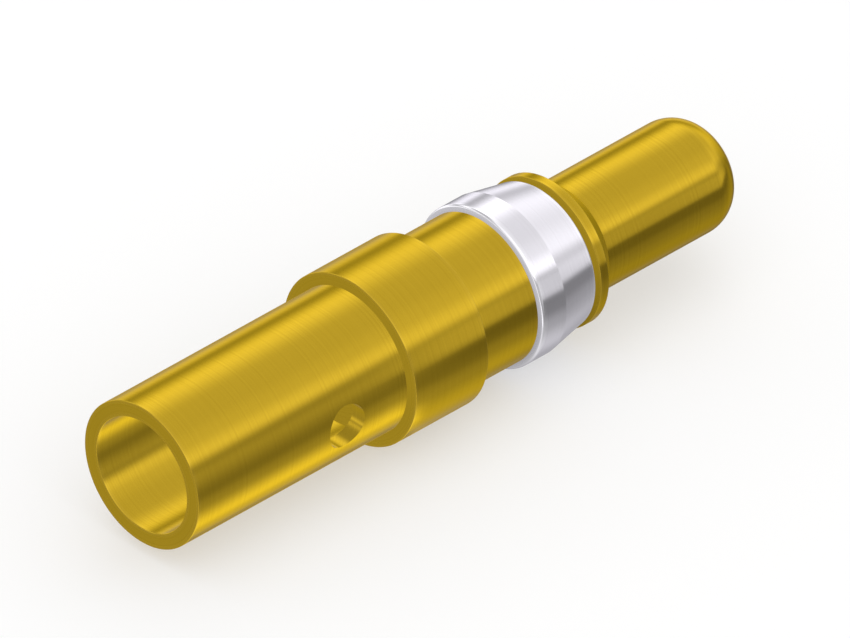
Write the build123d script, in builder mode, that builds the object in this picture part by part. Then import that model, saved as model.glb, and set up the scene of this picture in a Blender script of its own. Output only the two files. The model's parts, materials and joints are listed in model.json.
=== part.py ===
from build123d import *
import os
from math import radians, tan

# Crimp pin contact: a turned contact body with a spring retaining clip in its groove.
# The contact lies along +X. The crimp mouth is at x = 0, centred on the axis, and the pin points to +X.
# The inspection hole faces -Y and +Z is up. Lengths are in millimetres, angles in degrees.

# Crimp barrel
barrel_diameter = 4.70
barrel_length = 8.40
bore_diameter = 3.70
bore_depth = 7.80
inspection_hole_diameter = 1.40
inspection_hole_station = 6.00

# Collar and shank
collar_diameter = 5.50
collar_length = 2.90
shank_diameter = 4.80
shank_length = 2.35

# Groove and flange
groove_diameter = 3.80
groove_length = 2.55
flange_diameter = 4.80
flange_land = 0.30
cone_angle = 45.0

# Pin
pin_diameter = 3.60
pin_length = 5.70
tip_radius = 1.14

# Retaining clip
clip_wall = 0.40
clip_flare = 0.27
clip_land = 0.93
clip_edge_radius = 0.08
clip_slit_width = 0.50
clip_slit_angle = -45.0

# Clearances of the clip in its groove
clip_seat_clearance = 0.02
clip_rear_clearance = 0.02
clip_front_clearance = 0.14

# Stations along the axis, counted from the crimp mouth
collar_start = barrel_length
shank_start = collar_start + collar_length
groove_start = shank_start + shank_length
flange_start = groove_start + groove_length
cone_start = flange_start + flange_land
cone_length = (flange_diameter - pin_diameter) / 2 / tan(radians(cone_angle))
pin_start = cone_start + cone_length
tip_station = pin_start + pin_length

# Stations and radii of the clip: its narrow front end sits on the groove floor, its rear end stands proud
clip_rear = groove_start + clip_rear_clearance
clip_front = flange_start - clip_front_clearance
clip_crease = clip_rear + clip_land
clip_front_bore = groove_diameter / 2 + clip_seat_clearance
clip_rear_bore = clip_front_bore + clip_flare


def turned_outline():
    """Outside of the turned body as (station, radius) points, from the mouth to the tip."""
    steps = [
        (0, collar_start, barrel_diameter),
        (collar_start, shank_start, collar_diameter),
        (shank_start, groove_start, shank_diameter),
        (groove_start, flange_start, groove_diameter),
        (flange_start, cone_start, flange_diameter),
        (pin_start, tip_station, pin_diameter),
    ]
    points = []
    for start, end, diameter in steps:
        points.append((start, diameter / 2))
        points.append((end, diameter / 2))
    return points


# Contact body, turned from one bar
with BuildPart() as contact_body:
    with BuildSketch(Plane.XY):
        with BuildLine():
            Polyline((0, 0), *turned_outline(), (tip_station, 0), close=True)
        make_face()
    revolve(axis=Axis.X)

    # The tip is rounded to a small flat face
    tip_edge = contact_body.edges().filter_by(GeomType.CIRCLE).sort_by(Axis.X)[-1]
    fillet(tip_edge, radius=tip_radius)

    # Blind crimp bore from the mouth
    with Locations(Plane(origin=(0, 0, 0), z_dir=(-1, 0, 0))):
        Hole(radius=bore_diameter / 2, depth=bore_depth)

    # Inspection hole through one wall of the barrel, as far as the middle of the bore
    with Locations(Plane(origin=(inspection_hole_station, -barrel_diameter / 2, 0), z_dir=(0, -1, 0))):
        Hole(radius=inspection_hole_diameter / 2, depth=barrel_diameter / 2)

# Retaining clip, rolled from spring strip: a cylindrical land at the rear and a taper towards the pin
with BuildPart() as retaining_clip:
    with BuildSketch(Plane.XY):
        with BuildLine():
            Polyline(
                (clip_rear, clip_rear_bore),
                (clip_rear, clip_rear_bore + clip_wall),
                (clip_crease, clip_rear_bore + clip_wall),
                (clip_front, clip_front_bore + clip_wall),
                (clip_front, clip_front_bore),
                (clip_crease, clip_rear_bore),
                close=True,
            )
        make_face()
    revolve(axis=Axis.X)

    # Both outer rims are rounded
    rims = retaining_clip.edges().filter_by(GeomType.CIRCLE).group_by(Axis.X)
    outer_rims = [rims[0].sort_by(SortBy.RADIUS)[-1], rims[-1].sort_by(SortBy.RADIUS)[-1]]
    fillet(outer_rims, radius=clip_edge_radius)

    # The slit lets the clip close when it passes through the cavity
    with BuildSketch(Plane.YZ.offset(clip_rear)):
        Rectangle(
            clip_rear_bore + 2 * clip_wall,
            clip_slit_width,
            rotation=clip_slit_angle,
            align=(Align.MIN, Align.CENTER),
        )
    extrude(amount=clip_front - clip_rear, mode=Mode.SUBTRACT)

contact_body.part.label = "contact_body"
retaining_clip.part.label = "retaining_clip"

os.makedirs("parts", exist_ok=True)
export_step(contact_body.part, "parts/contact_body.step")
export_step(retaining_clip.part, "parts/retaining_clip.step")
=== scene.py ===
import json
from math import acos, asin, atan2, cos, pi, radians, sin, sqrt

import bmesh
import bpy
import numpy as np
from bpy.props import FloatProperty, FloatVectorProperty, PointerProperty
from mathutils import Matrix, Vector


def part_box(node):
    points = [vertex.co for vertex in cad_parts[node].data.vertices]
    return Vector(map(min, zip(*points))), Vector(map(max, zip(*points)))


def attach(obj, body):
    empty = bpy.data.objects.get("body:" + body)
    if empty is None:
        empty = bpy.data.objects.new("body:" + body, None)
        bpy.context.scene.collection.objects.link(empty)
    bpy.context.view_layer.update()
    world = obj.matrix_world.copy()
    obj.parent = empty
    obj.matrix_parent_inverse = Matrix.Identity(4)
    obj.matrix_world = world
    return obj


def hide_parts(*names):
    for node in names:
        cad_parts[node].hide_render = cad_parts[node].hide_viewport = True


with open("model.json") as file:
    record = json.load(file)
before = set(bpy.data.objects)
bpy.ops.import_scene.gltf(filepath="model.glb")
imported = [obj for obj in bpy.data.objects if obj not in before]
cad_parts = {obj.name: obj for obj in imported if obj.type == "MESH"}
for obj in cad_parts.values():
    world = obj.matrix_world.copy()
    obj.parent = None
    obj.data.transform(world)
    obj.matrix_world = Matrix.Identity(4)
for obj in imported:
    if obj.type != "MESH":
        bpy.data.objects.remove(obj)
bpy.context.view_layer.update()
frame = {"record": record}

bl_info = {
    "name": "Crimp Pin Contact",
    "version": (1, 0, 0),
    "blender": (4, 5, 0),
    "location": "View3D > Sidebar > Contact",
    "description": "Turned crimp pin contact with its retaining clip, and a plain studio",
    "category": "Add Mesh",
}

MM = 0.001
BODY = "root"
MOUNTS = {mount["name"]: mount for mount in frame["record"]["mounts"]}
BODY_LOW, BODY_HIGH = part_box("contact_body")
CLIP_LOW, CLIP_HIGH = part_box("retaining_clip")


def mount_size(name, key):
    """A mount's measure in metres."""
    return MOUNTS[name]["dims"][key] * MM


COLLAR_LENGTH = mount_size("body_collar", "length_mm")
COLLAR_START = MOUNTS["body_collar"]["pos_m"][0] - COLLAR_LENGTH / 2

# Finishes other than the plain turned outside. Each is a mask on the mesh, and so is the wear.
FINISHES = ("faced", "drilled", "coned")

# An edge with a smaller rounding than this is burnished, and its wear fades out as far beside it
WEAR_REACH = 0.12 * MM

# Fineness of the meshes: steps round the axis and round the drill, and steps in a rounding
TURN_STEPS = 256
DRILL_STEPS = 128
EDGE_STEPS = 5
NOSE_STEPS = 40

# Points on one ring have the same station and radius to this many decimals of a metre, and a
# radius below this is on the axis
RING_DECIMALS = 9
ON_AXIS = 1e-9

# The drill's ends: the axis, and this many barrel radii out
DRILL_REACH = 1.2

# A face is on the inspection hole's wall if its corners are this close to the hole's radius and
# its normal leans less than this towards Y
WALL_TOLERANCE = 0.004 * MM
WALL_LEAN = 0.2

# Least cosine between a face's normal and the outline that it was turned from
SAME_WAY = 0.5


# Sizes and colours that a user would change


class ContactBodySizes(bpy.types.PropertyGroup):
    """Sizes of the turned contact body."""

    length: FloatProperty(
        name="Length",
        description="From the crimp mouth to the tip of the pin",
        default=BODY_HIGH.x,
        unit="LENGTH",
    )
    barrel_radius: FloatProperty(
        name="Barrel radius",
        description="Outside radius of the crimp barrel",
        default=2.35 * MM,
        unit="LENGTH",
    )
    bore_radius: FloatProperty(
        name="Bore radius",
        description="Radius of the crimp bore",
        default=mount_size("wire_bore", "r_mm"),
        unit="LENGTH",
    )
    bore_depth: FloatProperty(
        name="Bore depth",
        description="Depth of the flat-bottomed crimp bore",
        default=mount_size("wire_bore", "length_mm"),
        unit="LENGTH",
    )
    inspection_hole_radius: FloatProperty(
        name="Inspection hole radius",
        description="Radius of the hole through one wall of the barrel",
        default=0.70 * MM,
        unit="LENGTH",
    )
    inspection_hole_station: FloatProperty(
        name="Inspection hole station",
        description="Distance of the hole's centre from the crimp mouth",
        default=6.00 * MM,
        unit="LENGTH",
    )
    collar_start: FloatProperty(
        name="Collar start",
        description="Distance of the collar's rear face from the crimp mouth",
        default=COLLAR_START,
        unit="LENGTH",
    )
    collar_length: FloatProperty(
        name="Collar length",
        description="Length of the collar",
        default=COLLAR_LENGTH,
        unit="LENGTH",
    )
    collar_radius: FloatProperty(
        name="Collar radius",
        description="Radius of the collar",
        default=mount_size("body_collar", "r_mm"),
        unit="LENGTH",
    )
    shank_radius: FloatProperty(
        name="Shank radius",
        description="Radius of the shank and of the flange",
        default=2.40 * MM,
        unit="LENGTH",
    )
    groove_radius: FloatProperty(
        name="Groove radius",
        description="Radius of the groove's floor",
        default=1.90 * MM,
        unit="LENGTH",
    )
    rear_clearance: FloatProperty(
        name="Rear clearance",
        description="Gap between the groove's rear wall and the clip",
        default=0.02 * MM,
        unit="LENGTH",
    )
    front_clearance: FloatProperty(
        name="Front clearance",
        description="Gap between the clip and the flange",
        default=0.14 * MM,
        unit="LENGTH",
    )
    flange_land: FloatProperty(
        name="Flange land",
        description="Length of the flange's cylindrical rim",
        default=0.30 * MM,
        unit="LENGTH",
    )
    pin_radius: FloatProperty(
        name="Pin radius",
        description="Radius of the pin",
        default=mount_size("contact_pin", "r_mm"),
        unit="LENGTH",
    )
    tip_radius: FloatProperty(
        name="Tip radius",
        description="Rounding radius of the pin's tip",
        default=1.14 * MM,
        unit="LENGTH",
    )
    edge_radius: FloatProperty(
        name="Edge radius",
        description="Rounding of the deburred outer edges",
        default=0.02 * MM,
        unit="LENGTH",
    )


class RetainingClipSizes(bpy.types.PropertyGroup):
    """Sizes of the split spring sleeve."""

    wall: FloatProperty(
        name="Wall",
        description="Thickness of the spring strip",
        default=0.40 * MM,
        unit="LENGTH",
    )
    rear_radius: FloatProperty(
        name="Rear radius",
        description="Outside radius of the cylindrical land at the rear",
        default=2.59 * MM,
        unit="LENGTH",
    )
    front_radius: FloatProperty(
        name="Front radius",
        description="Outside radius of the narrow front end",
        default=2.32 * MM,
        unit="LENGTH",
    )
    land: FloatProperty(
        name="Land",
        description="Length of the cylindrical land at the rear",
        default=0.93 * MM,
        unit="LENGTH",
    )
    edge_radius: FloatProperty(
        name="Edge radius",
        description="Rounding of the two outer rims",
        default=0.08 * MM,
        unit="LENGTH",
    )
    slit_width: FloatProperty(
        name="Slit width",
        description="Width of the slit along the sleeve",
        default=0.50 * MM,
        unit="LENGTH",
    )
    slit_angle: FloatProperty(
        name="Slit angle",
        description="Place of the slit round the axis, from +Y towards +Z",
        default=radians(-45),
        subtype="ANGLE",
    )


def colour_property(name, description, default):
    """A colour that a user can change."""
    return FloatVectorProperty(
        name=name,
        description=description,
        default=default,
        subtype="COLOR",
        min=0,
        max=1,
    )


class FinishColours(bpy.types.PropertyGroup):
    """Colours and gloss of the two metals."""

    gold: colour_property("Gold", "Colour of the gold plating", (0.550, 0.364, 0.0245))
    deep_gold: colour_property(
        "Deep gold",
        "Colour of the plating where it is thickest",
        (0.500, 0.325, 0.0195),
    )
    worn_gold: colour_property("Worn gold", "Colour of the burnished edges", (0.66, 0.45, 0.06))
    steel: colour_property("Steel", "Colour of the spring steel", (0.79, 0.77, 0.825))
    deep_steel: colour_property("Deep steel", "Colour in the rolling lines", (0.755, 0.735, 0.785))
    worn_steel: colour_property("Worn steel", "Colour of the burnished rims", (0.92, 0.91, 0.95))
    gold_roughness: FloatProperty(
        name="Gold roughness",
        description="Roughness of the turned and plated surface",
        default=0.19,
        subtype="FACTOR",
        min=0,
        max=1,
    )
    steel_roughness: FloatProperty(
        name="Steel roughness",
        description="Roughness of the rolled strip",
        default=0.17,
        subtype="FACTOR",
        min=0,
        max=1,
    )


class StudioSettings(bpy.types.PropertyGroup):
    """Floor, light and camera."""

    floor_colour: colour_property("Floor colour", "Colour of the plain floor", (0.96, 0.96, 0.96))
    floor_white: FloatProperty(
        name="Floor white",
        description="Share of plain white in the floor, which makes the shadow lighter",
        default=0.45,
        subtype="FACTOR",
        min=0,
        max=1,
    )
    floor_radius: FloatProperty(
        name="Floor radius",
        description="Radius of the round floor",
        default=3.0,
        unit="LENGTH",
    )
    view_width: FloatProperty(
        name="View width",
        description="Width that the camera takes in",
        default=24.5 * MM,
        unit="LENGTH",
    )


# Meshes turned round the X axis


class Profile:
    """An outline of (station, radius) points. Each stretch has its normals, finish and wear."""

    def __init__(self):
        self.points = []
        self.normals = []
        self.wear = []
        self.finishes = []

    def add(self, ends, normals, wear, finish):
        """One straight piece of the outline, with a normal and a share of wear at each end."""
        self.points.append(ends)
        self.normals.append(normals)
        self.wear.append(wear)
        self.finishes.append(finish)

    def line(self, start, end, worn_ends, finish):
        """A straight stretch, worn at the ends that meet a small rounding."""
        direction = (end - start).normalized()
        normal = Vector((-direction.y, direction.x))
        length = (end - start).length
        # On a short stretch the wear fades within a third of it
        fade = min(WEAR_REACH, length / 3)
        stops = [(0, float(worn_ends[0])), (1, float(worn_ends[1]))]
        if worn_ends[0]:
            stops.insert(1, (fade / length, 0))
        if worn_ends[1]:
            stops.insert(-1, (1 - fade / length, 0))
        for (one, wear_one), (two, wear_two) in zip(stops, stops[1:]):
            ends = (start.lerp(end, one), start.lerp(end, two))
            self.add(ends, (normal, normal), (wear_one, wear_two), finish)

    def arc(self, centre, radius, start_angle, turn, steps, worn, finish):
        """An arc, by its angles from +X towards growing radius."""
        for i in range(steps):
            outs = []
            for step in (i, i + 1):
                angle = start_angle + turn * step / steps
                outs.append(Vector((cos(angle), sin(angle))))
            ends = (centre + radius * outs[0], centre + radius * outs[1])
            self.add(ends, tuple(outs), (worn, worn), finish)


def rounded_profile(corners, closed=False):
    """Profile through (station, radius, rounding, finish) corners.

    A corner's finish is that of the stretch after it.
    """
    profile = Profile()
    count = len(corners)
    points = [Vector(corner[:2]) for corner in corners]
    roundings = [corner[2] for corner in corners]
    starts = list(points)
    ends = list(points)
    centres = {}
    for i, rounding in enumerate(roundings):
        if rounding <= 0:
            continue
        before = (points[i - 1] - points[i]).normalized()
        after = (points[(i + 1) % count] - points[i]).normalized()
        half = acos(max(-1, min(1, before.dot(after)))) / 2
        reach = rounding * cos(half) / sin(half)
        starts[i] = points[i] + before * reach
        ends[i] = points[i] + after * reach
        centres[i] = points[i] + (before + after).normalized() * (rounding / sin(half))
    for i, rounding in enumerate(roundings):
        finish = corners[i][3]
        following = (i + 1) % count
        if i in centres:
            first = starts[i] - centres[i]
            second = ends[i] - centres[i]
            start_angle = atan2(first.y, first.x)
            turn = atan2(second.y, second.x) - start_angle
            turn = (turn + pi) % (2 * pi) - pi
            small = rounding < WEAR_REACH
            steps = EDGE_STEPS if small else NOSE_STEPS
            profile.arc(centres[i], rounding, start_angle, turn, steps, float(small), finish)
        if closed or i < count - 1:
            worn_ends = [0 < roundings[k] < WEAR_REACH for k in (i, following)]
            profile.line(ends[i], starts[following], worn_ends, finish)
    return profile


def full_turn(steps):
    """Even angles all the way round, the same at every radius."""
    angles = [2 * pi * i / steps for i in range(steps)]
    return lambda radius: angles


def turned_mesh(name, profile, angles_of, closed_turn=True):
    """Mesh swept round the X axis. angles_of gives the angles for a radius."""
    mesh = bpy.data.meshes.new(name)
    bm = bmesh.new()
    rings = {}

    def ring(point):
        key = (round(point.x, RING_DECIMALS), round(point.y, RING_DECIMALS))
        if key not in rings:
            x, r = point
            if r < ON_AXIS:
                rings[key] = [bm.verts.new((x, 0, 0))]
            else:
                rings[key] = [bm.verts.new((x, r * cos(a), r * sin(a))) for a in angles_of(r)]
        return rings[key]

    for start, end in profile.points:
        one = ring(start)
        two = ring(end)
        steps = max(len(one), len(two))
        for i in range(steps if closed_turn else steps - 1):
            j = (i + 1) % steps
            corners = []
            for vert in (
                one[i % len(one)],
                two[i % len(two)],
                two[j % len(two)],
                one[j % len(one)],
            ):
                if vert not in corners:
                    corners.append(vert)
            bm.faces.new(corners)
    if not closed_turn:
        for side in (0, -1):
            bm.faces.new([ring(start)[side] for start, end in profile.points])
    bmesh.ops.recalc_face_normals(bm, faces=bm.faces)
    bm.to_mesh(mesh)
    bm.free()
    return mesh


def link(name, mesh):
    """A new object in the scene's collection."""
    piece = bpy.data.objects.new(name, mesh)
    bpy.context.scene.collection.objects.link(piece)
    return piece


def apply_boolean(piece, cutter):
    """Cuts the cutter out of the piece and deletes it."""
    modifier = piece.modifiers.new("cut", "BOOLEAN")
    modifier.operation = "DIFFERENCE"
    modifier.solver = "EXACT"
    modifier.object = cutter
    graph = bpy.context.evaluated_depsgraph_get()
    mesh = bpy.data.meshes.new_from_object(piece.evaluated_get(graph))
    piece.modifiers.clear()
    old = piece.data
    if len(mesh.vertices) == len(old.vertices):
        raise RuntimeError(f"{cutter.name} cut nothing out of {piece.name}")
    name = old.name
    piece.data = mesh
    bpy.data.meshes.remove(old)
    mesh.name = name
    cutter_mesh = cutter.data
    bpy.data.objects.remove(cutter)
    bpy.data.meshes.remove(cutter_mesh)


def hole_offsets(places, centre, normal, hole):
    """Corners as (x, z) from the inspection hole's middle, or None for a face off its wall."""
    station, radius = hole
    offsets = places[:, [0, 2]] - np.array([station, 0])
    distances = np.sqrt((offsets**2).sum(1))
    on_wall = np.all(np.abs(distances - radius) < WALL_TOLERANCE)
    if centre[1] < 0 and on_wall and abs(normal[1]) < WALL_LEAN:
        return offsets
    return None


def finish_surface(mesh, profile, hole=None):
    """Gives the corners the true normal, finish and wear of the outline they were turned from."""
    starts, ends = np.array(profile.points).swapaxes(0, 1)
    start_normals, end_normals = np.array(profile.normals).swapaxes(0, 1)
    spans = ends - starts
    squares = np.maximum((spans**2).sum(1), ON_AXIS**2)
    positions = np.zeros(len(mesh.vertices) * 3)
    mesh.vertices.foreach_get("co", positions)
    positions = positions.reshape(-1, 3)
    normals = [None] * len(mesh.loops)
    values = {name: np.zeros(len(mesh.loops)) for name in ("worn", *FINISHES)}
    for polygon in mesh.polygons:
        loops = polygon.loop_indices
        places = positions[[mesh.loops[i].vertex_index for i in loops]]
        centre = np.array(polygon.center)
        face_normal = np.array(polygon.normal)

        # The wall of the inspection hole
        offsets = hole_offsets(places, centre, face_normal, hole) if hole else None
        if offsets is not None:
            for loop, offset in zip(loops, offsets):
                inward = -offset / np.linalg.norm(offset)
                normals[loop] = (inward[0], 0, inward[1])
                values["drilled"][loop] = 1
            continue

        # A cut face of the clip's slit, which looks round the axis
        radius = sqrt(centre[1] ** 2 + centre[2] ** 2)
        out = centre[1:] / radius
        lying = np.array([face_normal[0], face_normal[1:] @ out])
        if np.linalg.norm(lying) < SAME_WAY:
            for loop in loops:
                normals[loop] = tuple(face_normal)
            continue

        # A turned face: the nearest stretch of the outline, where one that faces another way
        # counts as further off than any other
        point = np.array([centre[0], radius])
        along = np.clip(((point - starts) * spans).sum(1) / squares, 0, 1)
        distances = ((starts + spans * along[:, None] - point) ** 2).sum(1)
        distances[start_normals @ lying < SAME_WAY] += 1
        k = int(distances.argmin())
        wear = profile.wear[k]
        for loop, (x, y, z) in zip(loops, places):
            r = sqrt(y * y + z * z)
            t = ((np.array([x, r]) - starts[k]) @ spans[k]) / squares[k]
            t = min(1, max(0, t))
            normal = start_normals[k] * (1 - t) + end_normals[k] * t
            normal = normal / np.linalg.norm(normal)
            direction = np.array([y, z]) / r if r > ON_AXIS else out
            normals[loop] = (normal[0], normal[1] * direction[0], normal[1] * direction[1])
            values["worn"][loop] = wear[0] * (1 - t) + wear[1] * t
            if profile.finishes[k] in FINISHES:
                values[profile.finishes[k]][loop] = 1
    for polygon in mesh.polygons:
        polygon.use_smooth = True
    for name, numbers in values.items():
        layer = mesh.attributes.new(name, "FLOAT", "CORNER")
        layer.data.foreach_set("value", numbers)
    mesh.normals_split_custom_set(normals)


# Materials

# Patterns of noise as (number per millimetre, detail)
TURNING_MARKS = (14, 4)
PLATING_CLOUDS = (0.45, 3)
PLATING_SPECKS = (9, 2)
ROLLING_LINES = (22, 5)
ROLLING_SMEARS = (0.8, 3)

# Marks and lines run along the outline. A change of radius counts this many times, so that faces
# and the cone have them too.
OUTLINE_SLOPE = 1.37
MARK_DEPTH = 0.0006 * MM
LINE_DEPTH = 0.0004 * MM

# How the noise turns to the deeper colour, as (share at most, noise at none, noise at most), and
# the share of the worn colour where the wear is full
CLOUD_TONE = (0.35, 0.3, 0.7)
MARK_TONE = (0.8, 0.35, 0.7)
LINE_TONE = (1, 0.25, 0.75)
WORN_GOLD_SHARE = 0.20
WORN_STEEL_SHARE = 0.6

# Roughness: how far the patterns swing it either way, and what each mask adds
GRAIN_SWING = 0.03
SPECK_SWING = 0.015
SMEAR_SWING = 0.02
GOLD_ROUGHER = {"faced": 0.10, "drilled": 0.04, "worn": -0.03}
STEEL_ROUGHER = {"faced": 0.10, "drilled": 0.10}

# Gold is rougher where it turns away: by how much, and between which shares of glancing
GLANCING_ROUGHER = (0.3, 0.80, 0.97)

# Colours that the metals mirror at glancing angles
GOLD_TINT = (0.84, 0.73, 0.45)
CONE_TINT = (0.84, 0.70, 0.10)
STEEL_TINT = (0.85, 0.84, 0.88, 1)

# The grain of turning draws highlights out along the axis, across the tangent round it
GRAIN_STRETCH = 0.6
QUARTER_TURN = 0.25


class NodeGraph:
    """Short ways to build the nodes of a material or a world."""

    def __init__(self, owner):
        owner.use_nodes = True
        self.nodes = owner.node_tree.nodes
        self.links = owner.node_tree.links
        self.shader = self.nodes.get("Principled BSDF")

    def feed(self, socket, value):
        """Links an output to a socket, or sets the socket to a number or a colour."""
        if isinstance(value, bpy.types.NodeSocket):
            self.links.new(value, socket)
        else:
            socket.default_value = value

    def surface(self, shader):
        """Makes a shader the material's surface."""
        self.links.new(shader, self.nodes["Material Output"].inputs["Surface"])

    def math(self, operation, *values):
        """The result of a Math node."""
        node = self.nodes.new("ShaderNodeMath")
        node.operation = operation
        for socket, value in zip(node.inputs, values):
            self.feed(socket, value)
        return node.outputs[0]

    def mask(self, name):
        """A finish or the wear, as finish_surface wrote it on the mesh."""
        node = self.nodes.new("ShaderNodeAttribute")
        node.attribute_name = name
        return node.outputs["Fac"]

    def add_shares(self, value, shares):
        """Adds to a value what each mask brings."""
        for name, more in shares.items():
            value = self.math("ADD", value, self.math("MULTIPLY", self.mask(name), more))
        return value

    def coordinates(self, kind):
        """A texture coordinate, whole and split into X, Y and Z."""
        whole = self.nodes.new("ShaderNodeTexCoord").outputs[kind]
        split = self.nodes.new("ShaderNodeSeparateXYZ")
        self.links.new(whole, split.inputs["Vector"])
        return whole, split.outputs

    def outline(self):
        """Position on the piece, and a measure that runs on along its turned outline."""
        place, (x, y, z) = self.coordinates("Object")
        squares = [self.math("MULTIPLY", part, part) for part in (y, z)]
        radius = self.math("SQRT", self.math("ADD", *squares))
        return place, self.math("ADD", x, self.math("MULTIPLY", radius, OUTLINE_SLOPE))

    def noise(self, pattern, vector=None, w=None):
        """Noise from 0 to 1, by the place in space or along one line."""
        per_mm, detail = pattern
        node = self.nodes.new("ShaderNodeTexNoise")
        if w is not None:
            node.noise_dimensions = "1D"
            self.links.new(w, node.inputs["W"])
        else:
            self.links.new(vector, node.inputs["Vector"])
        node.inputs["Scale"].default_value = per_mm / MM
        node.inputs["Detail"].default_value = detail
        return node.outputs["Fac"]

    def spread(self, value, low, high, start=0.0, end=1.0):
        """Stretches a value from start and end to low and high."""
        node = self.nodes.new("ShaderNodeMapRange")
        node.inputs["From Min"].default_value = start
        node.inputs["From Max"].default_value = end
        node.inputs["To Min"].default_value = low
        node.inputs["To Max"].default_value = high
        self.links.new(value, node.inputs["Value"])
        return node.outputs["Result"]

    def blend(self, factor, one, two):
        """Mixes two colours."""
        node = self.nodes.new("ShaderNodeMix")
        node.data_type = "RGBA"
        self.feed(node.inputs["Factor"], factor)
        for name, value in (("A", one), ("B", two)):
            given = isinstance(value, bpy.types.NodeSocket)
            self.feed(node.inputs[name], value if given else (*value, 1))
        return node.outputs["Result"]

    def layer(self, factor, one, two):
        """Mixes two shaders."""
        node = self.nodes.new("ShaderNodeMixShader")
        self.feed(node.inputs["Fac"], factor)
        self.links.new(one, node.inputs[1])
        self.links.new(two, node.inputs[2])
        return node.outputs[0]

    def tone(self, noise, steps, colour, deeper):
        """Deepens a colour by noise, with (share at most, noise at none, noise at most)."""
        share, low, high = steps
        return self.blend(self.spread(noise, 0, share, low, high), colour, deeper)

    def ramp(self, factor, stops):
        """Greys by a factor, with soft steps from one (position, level) stop to the next."""
        node = self.nodes.new("ShaderNodeValToRGB")
        node.color_ramp.interpolation = "EASE"
        elements = node.color_ramp.elements
        elements.remove(elements[-1])
        for i, (position, level) in enumerate(stops):
            element = elements[0] if i == 0 else elements.new(position)
            element.position = position
            element.color = (level, level, level, 1)
        self.links.new(factor, node.inputs["Fac"])
        return node.outputs["Color"]

    def levels(self, length, stops):
        """Greys by a length, from (millimetres, level) stops."""
        first = stops[0][0]
        last = stops[-1][0]
        share = self.spread(length, 0, 1, first * MM, last * MM)
        return self.ramp(share, [((mm - first) / (last - first), level) for mm, level in stops])

    def glancing(self):
        """0 where the surface faces the eye, 1 where it turns away."""
        return self.nodes.new("ShaderNodeLayerWeight").outputs["Facing"]

    def bump(self, height, depth):
        """The normal of a surface with fine relief."""
        node = self.nodes.new("ShaderNodeBump")
        node.inputs["Strength"].default_value = 1.0
        node.inputs["Distance"].default_value = depth
        self.links.new(height, node.inputs["Height"])
        return node.outputs["Normal"]

    def turned_grain(self):
        """The long highlights of a surface that was turned or rolled round the X axis."""
        tangent = self.nodes.new("ShaderNodeTangent")
        tangent.direction_type = "RADIAL"
        tangent.axis = "X"
        self.links.new(tangent.outputs["Tangent"], self.shader.inputs["Tangent"])
        self.shader.inputs["Anisotropic"].default_value = GRAIN_STRETCH
        self.shader.inputs["Anisotropic Rotation"].default_value = QUARTER_TURN


def gold_plating(colours):
    """Gold plate over turned metal: fine marks, duller faces, satin bores and brighter edges."""
    material = bpy.data.materials.new("gold_plating")
    graph = NodeGraph(material)
    place, outline = graph.outline()
    marks = graph.noise(TURNING_MARKS, w=outline)
    clouds = graph.noise(PLATING_CLOUDS, vector=place)
    specks = graph.noise(PLATING_SPECKS, vector=place)

    tone = graph.tone(clouds, CLOUD_TONE, colours.gold, colours.deep_gold)
    tone = graph.tone(marks, MARK_TONE, tone, colours.deep_gold)
    worn = graph.math("MULTIPLY", graph.mask("worn"), WORN_GOLD_SHARE)
    tone = graph.blend(worn, tone, colours.worn_gold)
    graph.feed(graph.shader.inputs["Base Color"], tone)

    middle = colours.gold_roughness
    rough = graph.spread(marks, middle - GRAIN_SWING, middle + GRAIN_SWING)
    rough = graph.math("ADD", rough, graph.spread(specks, -SPECK_SWING, SPECK_SWING))
    rough = graph.add_shares(rough, GOLD_ROUGHER)
    turned_away = graph.spread(graph.glancing(), 0, *GLANCING_ROUGHER)
    rough = graph.math("ADD", rough, turned_away)
    graph.feed(graph.shader.inputs["Roughness"], rough)
    graph.feed(graph.shader.inputs["Metallic"], 1.0)
    graph.feed(graph.shader.inputs["Normal"], graph.bump(marks, MARK_DEPTH))
    graph.turned_grain()
    tint = graph.blend(graph.mask("coned"), GOLD_TINT, CONE_TINT)
    graph.feed(graph.shader.inputs["Specular Tint"], tint)
    return material


def spring_steel(colours):
    """Bright rolled spring strip: fine lines round the axis, faint smears and bright cut edges."""
    material = bpy.data.materials.new("spring_steel")
    graph = NodeGraph(material)
    place, outline = graph.outline()
    lines = graph.noise(ROLLING_LINES, w=outline)
    smears = graph.noise(ROLLING_SMEARS, vector=place)

    tone = graph.tone(lines, LINE_TONE, colours.steel, colours.deep_steel)
    worn = graph.math("MULTIPLY", graph.mask("worn"), WORN_STEEL_SHARE)
    tone = graph.blend(worn, tone, colours.worn_steel)
    graph.feed(graph.shader.inputs["Base Color"], tone)

    middle = colours.steel_roughness
    rough = graph.spread(lines, middle - GRAIN_SWING, middle + GRAIN_SWING)
    rough = graph.math("ADD", rough, graph.spread(smears, -SMEAR_SWING, SMEAR_SWING))
    rough = graph.add_shares(rough, STEEL_ROUGHER)
    graph.feed(graph.shader.inputs["Roughness"], rough)
    graph.feed(graph.shader.inputs["Metallic"], 1.0)
    graph.feed(graph.shader.inputs["Normal"], graph.bump(lines, LINE_DEPTH))
    graph.turned_grain()
    graph.shader.inputs["Specular Tint"].default_value = STEEL_TINT
    return material


def finish_piece(piece, material, node):
    """Gives the piece its material and puts it in the frame. The metals don't mirror each other."""
    piece.data.materials.clear()
    piece.data.materials.append(material)
    piece.visible_glossy = False
    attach(piece, BODY)
    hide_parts(node)


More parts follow.
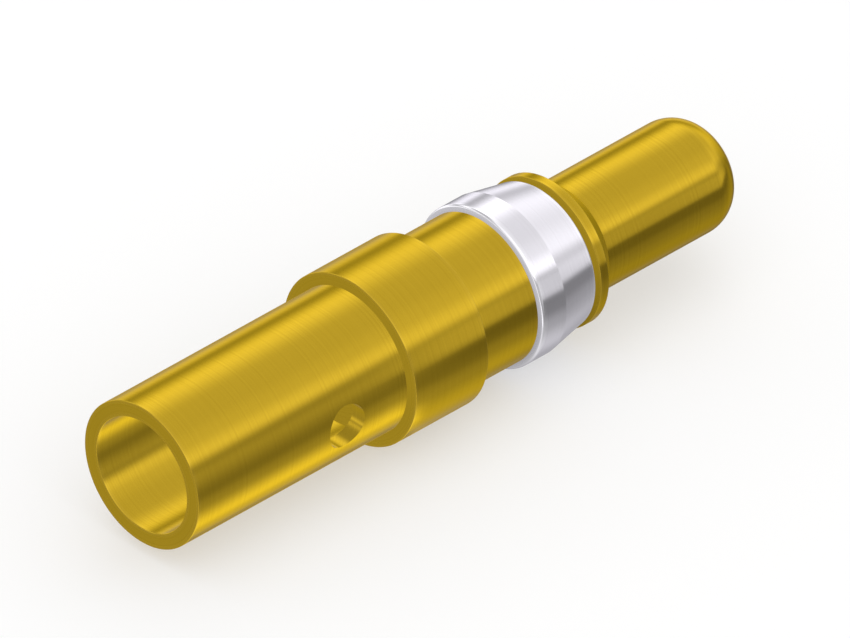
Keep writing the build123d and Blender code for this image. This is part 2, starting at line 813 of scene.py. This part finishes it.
class OBJECT_OT_contact_body(bpy.types.Operator):
    """Adds the turned contact body."""

    bl_idname = "object.contact_body_add"
    bl_label = "Contact Body"

    def execute(self, context):
        sizes = context.scene.contact_body_sizes
        collar_end = sizes.collar_start + sizes.collar_length
        groove_start = CLIP_LOW.x - sizes.rear_clearance
        flange_start = CLIP_HIGH.x + sizes.front_clearance
        cone_start = flange_start + sizes.flange_land
        pin_start = cone_start + sizes.shank_radius - sizes.pin_radius
        edge = sizes.edge_radius
        corners = [
            (sizes.bore_depth, 0, 0, "drilled"),
            (sizes.bore_depth, sizes.bore_radius, 0, "drilled"),
            (0, sizes.bore_radius, edge, "faced"),
            (0, sizes.barrel_radius, edge, "turned"),
            (sizes.collar_start, sizes.barrel_radius, 0, "faced"),
            (sizes.collar_start, sizes.collar_radius, edge, "turned"),
            (collar_end, sizes.collar_radius, edge, "faced"),
            (collar_end, sizes.shank_radius, 0, "turned"),
            (groove_start, sizes.shank_radius, edge, "faced"),
            (groove_start, sizes.groove_radius, 0, "drilled"),
            (flange_start, sizes.groove_radius, 0, "faced"),
            (flange_start, sizes.shank_radius, edge, "turned"),
            (cone_start, sizes.shank_radius, edge, "coned"),
            (pin_start, sizes.pin_radius, 0, "turned"),
            (sizes.length, sizes.pin_radius, sizes.tip_radius, "turned"),
            (sizes.length, 0, 0, "turned"),
        ]
        profile = rounded_profile(corners)
        mesh = turned_mesh("contact_body_turned", profile, full_turn(TURN_STEPS))
        piece = link("turned_body", mesh)

        # The inspection hole is drilled from -Y as far as the middle of the bore
        reach = DRILL_REACH * sizes.barrel_radius
        drill_profile = rounded_profile([
            (0, 0, 0, "turned"),
            (0, sizes.inspection_hole_radius, 0, "turned"),
            (reach, sizes.inspection_hole_radius, 0, "turned"),
            (reach, 0, 0, "turned"),
        ])
        drill = link("drill", turned_mesh("drill", drill_profile, full_turn(DRILL_STEPS)))
        drill.data.transform(Matrix.Rotation(-pi / 2, 4, "Z"))
        drill.data.transform(Matrix.Translation((sizes.inspection_hole_station, 0, 0)))
        apply_boolean(piece, drill)
        hole = (sizes.inspection_hole_station, sizes.inspection_hole_radius)
        finish_surface(piece.data, profile, hole)
        material = gold_plating(context.scene.contact_finish)
        finish_piece(piece, material, "contact_body")
        return {"FINISHED"}


class OBJECT_OT_retaining_clip(bpy.types.Operator):
    """Adds the split spring sleeve."""

    bl_idname = "object.retaining_clip_add"
    bl_label = "Retaining Clip"

    def execute(self, context):
        sizes = context.scene.retaining_clip_sizes
        rear = CLIP_LOW.x
        front = CLIP_HIGH.x
        crease = rear + sizes.land
        corners = [
            (rear, sizes.rear_radius - sizes.wall, 0, "faced"),
            (rear, sizes.rear_radius, sizes.edge_radius, "turned"),
            (crease, sizes.rear_radius, 0, "turned"),
            (front, sizes.front_radius, sizes.edge_radius, "faced"),
            (front, sizes.front_radius - sizes.wall, 0, "drilled"),
            (crease, sizes.rear_radius - sizes.wall, 0, "drilled"),
        ]
        profile = rounded_profile(corners, closed=True)

        def angles_of(radius):
            """Angles from one side of the slit round to the other."""
            half = asin(sizes.slit_width / 2 / radius)
            first = sizes.slit_angle + half
            turn = 2 * pi - 2 * half
            return [first + turn * i / TURN_STEPS for i in range(TURN_STEPS + 1)]

        mesh = turned_mesh("retaining_clip_sleeve", profile, angles_of, closed_turn=False)
        piece = link("spring_clip", mesh)
        finish_surface(mesh, profile)
        material = spring_steel(context.scene.contact_finish)
        finish_piece(piece, material, "retaining_clip")
        return {"FINISHED"}


# Studio

# Bands of light and dark round the contact, as (degrees from straight up towards +Y, level), in
# the directions beside it, behind its mouth and ahead of its pin. The metals mirror these bands,
# and not the floor or each other, as in the photograph.
LIGHT_BESIDE = [
    (-180, 1.12),
    (-167, 1.74),
    (-132, 0.58),
    (-115, 0.35),
    (-85, 0.61),
    (-75, 0.46),
    (-60, 1.46),
    (-39, 1.01),
    (-15, 0.90),
    (11, 0.92),
    (48, 1.65),
    (77, 0.52),
    (92, 1.34),
    (122, 0.36),
    (150, 0.30),
    (180, 1.12),
]
LIGHT_BEHIND = LIGHT_BESIDE[:6] + [
    (-60, 1.60),
    (-39, 1.30),
    (-15, 1.20),
    (14, 1.10),
    (31, 0.52),
    (48, 0.52),
    (62, 1.35),
    (77, 0.50),
    (92, 1.34),
    (118, 0.60),
    (157, 0.69),
    (180, 1.12),
]
LIGHT_AHEAD = [
    (-180, 0.55),
    (-114, 0.33),
    (-88, 0.98),
    (-67, 0.79),
    (-47, 1.26),
    (-3, 1.03),
    (44, 1.28),
    (72, 0.65),
    (96, 1.35),
    (129, 0.42),
    (180, 0.55),
]

# The directions along X over which each of these takes over from the one before: behind, beside
# and ahead of the contact, and the soft light straight ahead
ZONES = ((-0.98, -0.86), (0.1, 0.4), (0.60, 0.76), (0.86, 0.97))

# A colour ramp holds shares of this level, and so do the two values below
FULL_LEVEL = 2
PLAIN_LEVEL = (0.5, 0.5, 0.5)

# The soft light straight ahead: its share in the middle, what a direction's y and z add, and its
# lowest and highest share
AHEAD_MIDDLE = 0.375
AHEAD_SLOPE_Y = 0.60
AHEAD_SLOPE_Z = 0.85
AHEAD_LOWEST = 0.2
AHEAD_HIGHEST = 0.7

# The grey card lies just above the floor, under the front half of the contact. Its rows, in
# millimetres: y, the station of the rear edge, half the width over which that edge fades, and how
# full the card is.
CARD_LIFT = 0.02
CARD_ROWS = [
    (1.4, 9.0, 0.15, 0),
    (-0.4, 9.3, 0.15, 1),
    (-2.0, 9.64, 0.15, 1),
    (-3.4, 10.12, 0.20, 1),
    (-5.1, 11.1, 0.35, 1),
    (-9.05, 13.65, 0.80, 1),
    (-27.0, 26.0, 3.0, 1),
    (-40.0, 35.0, 4.0, 0),
]
CARD_FRONT = 60

# The card's levels by the millimetres from the axis towards -Y, under the collar and the shank and
# under the pin, and the stations between which one turns into the other
CARD_LEVELS = [
    (0, 0.32),
    (1.55, 0.45),
    (2.75, 0.67),
    (4.7, 0.44),
    (8, 0.28),
    (16, 0.29),
    (40, 0.95),
]
PIN_CARD_LEVELS = [
    (0.6, 0.30),
    (1.15, 0.60),
    (2.4, 0.61),
    (3.6, 0.50),
    (4.7, 0.42),
    (8, 0.27),
    (16, 0.24),
    (40, 0.95),
]
PIN_CARD_STATIONS = (15, 19)

# The card's strength at its rear and further forward, and the stations between which it falls
CARD_STRENGTHS = (1.45, 0.95)
CARD_STRENGTH_STATIONS = (10, 18)

# The strip light stands beside the front half, at this y. In millimetres, it has (station,
# fullness, drop) along it and (height, fullness) up it, and its shares of the full level by the
# station.
STRIP_SIDE = -15
STRIP_LENGTH = [(16.8, 0, 0), (18.4, 1, 0), (29, 1, 0), (32, 1, 1.1), (35, 1, 1.1), (38, 0, 1.1)]
STRIP_HEIGHT = [(-1.8, 0), (0.5, 1), (4.3, 1), (6.8, 0)]
STRIP_LEVELS = [(18.5, 0.48), (24, 0.36), (29.5, 0.36), (34, 0.50)]

FLOOR_STEPS = 96
FLOOR_ROUGHNESS = 0.9

# The camera stands midway between -X and -Y at the isometric height, as in the photograph. Its
# roll and the middle of its view, to the right of and above the crimp mouth, were measured there.
CAMERA_BACK = Vector((-1, -1, 1)).normalized()
CAMERA_LEVEL = Vector((1, -1, 0)).normalized()
CAMERA_ROLL = radians(1.04)
CAMERA_DISTANCE = 0.3
CAMERA_NEAR = 0.001
CAMERA_FAR = 10
VIEW_RIGHT = 8.165 * MM
VIEW_UP = 4.498 * MM


class SCENE_OT_contact_studio(bpy.types.Operator):
    """Adds the floor, the light and the camera."""

    bl_idname = "scene.contact_studio_add"
    bl_label = "Studio"

    def execute(self, context):
        scene = context.scene
        settings = scene.contact_studio
        scene.view_settings.view_transform = "Standard"
        self.add_floor(settings)
        self.add_grey_card()
        self.add_strip_light()
        self.add_world(scene)
        self.add_camera(scene, settings)
        return {"FINISHED"}

    def add_floor(self, settings):
        """A plain round floor, partly plain white for the camera, so the shadow stays light."""
        mesh = bpy.data.meshes.new("studio_floor")
        bm = bmesh.new()
        bmesh.ops.create_circle(
            bm, cap_ends=True, segments=FLOOR_STEPS, radius=settings.floor_radius
        )
        bm.to_mesh(mesh)
        bm.free()
        floor = link("studio_floor", mesh)
        floor.location.z = BODY_LOW.z
        floor.visible_glossy = False
        material = bpy.data.materials.new("floor_paint")
        graph = NodeGraph(material)
        graph.feed(graph.shader.inputs["Base Color"], (*settings.floor_colour, 1))
        graph.feed(graph.shader.inputs["Roughness"], FLOOR_ROUGHNESS)
        graph.feed(graph.shader.inputs["Specular IOR Level"], 0)
        rays = graph.nodes.new("ShaderNodeLightPath").outputs
        seen = graph.math("MAXIMUM", rays["Is Camera Ray"], rays["Is Glossy Ray"])
        seen = graph.math("MAXIMUM", seen, rays["Is Transmission Ray"])
        white = graph.nodes.new("ShaderNodeEmission").outputs[0]
        share = graph.math("MULTIPLY", seen, settings.floor_white)
        graph.surface(graph.layer(share, graph.shader.outputs[0], white))
        mesh.materials.append(material)

    def add_sheet(self, name, rows):
        """A glowing sheet through rows of (x, y, z, fullness), which only the metals mirror.

        Returns its node graph and the emission node, for the caller to give them its light.
        """
        width = len(rows[0])
        faces = []
        for i in range(1, len(rows)):
            for j in range(1, width):
                one = (i - 1) * width + j
                two = i * width + j
                faces.append((one - 1, one, two, two - 1))
        corners = [corner for row in rows for corner in row]
        mesh = bpy.data.meshes.new(name)
        mesh.from_pydata([corner[:3] for corner in corners], [], faces)
        fullness = mesh.attributes.new("fullness", "FLOAT", "POINT")
        fullness.data.foreach_set("value", [corner[3] for corner in corners])
        sheet = link(name, mesh)
        sheet.visible_camera = False
        sheet.visible_diffuse = False
        sheet.visible_shadow = False
        sheet.visible_transmission = False
        material = bpy.data.materials.new(name)
        graph = NodeGraph(material)
        glow = graph.nodes.new("ShaderNodeEmission")
        clear = graph.nodes.new("ShaderNodeBsdfTransparent")
        graph.surface(graph.layer(graph.mask("fullness"), clear.outputs[0], glow.outputs[0]))
        mesh.materials.append(material)
        return graph, glow

    def add_grey_card(self):
        """The grey card, which darkens the undersides of the front half and not of the barrel."""
        z = BODY_LOW.z + CARD_LIFT * MM
        rows = []
        for y, rear, fading, full in CARD_ROWS:
            stations = ((rear - fading, 0), (rear + fading, full), (CARD_FRONT, full))
            rows.append([(x * MM, y * MM, z, fullness) for x, fullness in stations])
        graph, glow = self.add_sheet("grey_card", rows)
        parts = graph.coordinates("Object")[1]
        x = parts["X"]
        out = graph.math("MULTIPLY", parts["Y"], -1)
        start, end = [station * MM for station in PIN_CARD_STATIONS]
        under_pin = graph.spread(x, 0, 1, start, end)
        levels = [graph.levels(out, stops) for stops in (CARD_LEVELS, PIN_CARD_LEVELS)]
        graph.feed(glow.inputs["Color"], graph.blend(under_pin, *levels))
        start, end = [station * MM for station in CARD_STRENGTH_STATIONS]
        graph.feed(glow.inputs["Strength"], graph.spread(x, *CARD_STRENGTHS, start, end))

    def add_strip_light(self):
        """The strip light, which brightens the middle of the front half and not of the barrel."""
        rows = []
        for z, high in STRIP_HEIGHT:
            row = []
            for x, along, drop in STRIP_LENGTH:
                row.append((x * MM, STRIP_SIDE * MM, (z - drop) * MM, high * along))
            rows.append(row)
        graph, glow = self.add_sheet("strip_light", rows)
        x = graph.coordinates("Object")[1]["X"]
        graph.feed(glow.inputs["Color"], graph.levels(x, STRIP_LEVELS))
        graph.feed(glow.inputs["Strength"], FULL_LEVEL)

    def add_world(self, scene):
        """Soft bands of light along the contact, other ones for each direction along its axis."""
        world = bpy.data.worlds.new("soft_studio")
        scene.world = world
        graph = NodeGraph(world)
        x, y, z = graph.coordinates("Generated")[1]
        turn = graph.spread(graph.math("ARCTAN2", y, z), 0, 1, -pi, pi)
        lights = []
        for bands in (LIGHT_BEHIND, LIGHT_BESIDE, LIGHT_AHEAD):
            stops = [((angle + 180) / 360, level / FULL_LEVEL) for angle, level in bands]
            lights.append(graph.ramp(turn, stops))
        ahead = graph.math(
            "ADD",
            graph.math("MULTIPLY", y, AHEAD_SLOPE_Y),
            graph.math("MULTIPLY", z, AHEAD_SLOPE_Z),
        )
        ahead = graph.math("MAXIMUM", graph.math("ADD", ahead, AHEAD_MIDDLE), AHEAD_LOWEST)
        lights.append(graph.math("MINIMUM", ahead, AHEAD_HIGHEST))
        colour = PLAIN_LEVEL
        for light, (start, end) in zip(lights, ZONES):
            colour = graph.blend(graph.spread(x, 0, 1, start, end), colour, light)
        background = graph.nodes["Background"]
        graph.feed(background.inputs["Color"], colour)
        graph.feed(background.inputs["Strength"], FULL_LEVEL)

    def add_camera(self, scene, settings):
        """The camera at the photograph's angle, with no perspective."""
        camera = bpy.data.cameras.new("camera")
        camera.type = "ORTHO"
        camera.ortho_scale = settings.view_width
        camera.clip_start = CAMERA_NEAR
        camera.clip_end = CAMERA_FAR
        rig = bpy.data.objects.new("camera", camera)
        scene.collection.objects.link(rig)
        back = CAMERA_BACK
        right = CAMERA_LEVEL * cos(CAMERA_ROLL) + back.cross(CAMERA_LEVEL) * sin(CAMERA_ROLL)
        up = back.cross(right)
        place = right * VIEW_RIGHT + up * VIEW_UP + back * CAMERA_DISTANCE
        rig.matrix_world = Matrix((
            (right.x, up.x, back.x, place.x),
            (right.y, up.y, back.y, place.y),
            (right.z, up.z, back.z, place.z),
            (0, 0, 0, 1),
        ))
        scene.camera = rig


class VIEW3D_PT_contact(bpy.types.Panel):
    """Buttons and sizes of the contact."""

    bl_label = "Crimp Pin Contact"
    bl_space_type = "VIEW_3D"
    bl_region_type = "UI"
    bl_category = "Contact"

    def draw(self, context):
        layout = self.layout
        layout.operator(OBJECT_OT_contact_body.bl_idname)
        layout.operator(OBJECT_OT_retaining_clip.bl_idname)
        layout.operator(SCENE_OT_contact_studio.bl_idname)


CLASSES = (
    ContactBodySizes,
    RetainingClipSizes,
    FinishColours,
    StudioSettings,
    OBJECT_OT_contact_body,
    OBJECT_OT_retaining_clip,
    SCENE_OT_contact_studio,
    VIEW3D_PT_contact,
)


def register():
    """Registers the classes and gives the scene its settings."""
    for cls in CLASSES:
        bpy.utils.register_class(cls)
    bpy.types.Scene.contact_body_sizes = PointerProperty(type=ContactBodySizes)
    bpy.types.Scene.retaining_clip_sizes = PointerProperty(type=RetainingClipSizes)
    bpy.types.Scene.contact_finish = PointerProperty(type=FinishColours)
    bpy.types.Scene.contact_studio = PointerProperty(type=StudioSettings)


def unregister():
    """Takes back what register did."""
    del bpy.types.Scene.contact_studio
    del bpy.types.Scene.contact_finish
    del bpy.types.Scene.retaining_clip_sizes
    del bpy.types.Scene.contact_body_sizes
    for cls in reversed(CLASSES):
        bpy.utils.unregister_class(cls)


def main():
    """Builds the contact and its studio."""
    register()
    bpy.ops.object.contact_body_add()
    bpy.ops.object.retaining_clip_add()
    bpy.ops.scene.contact_studio_add()


if __name__ == "__main__":
    main()
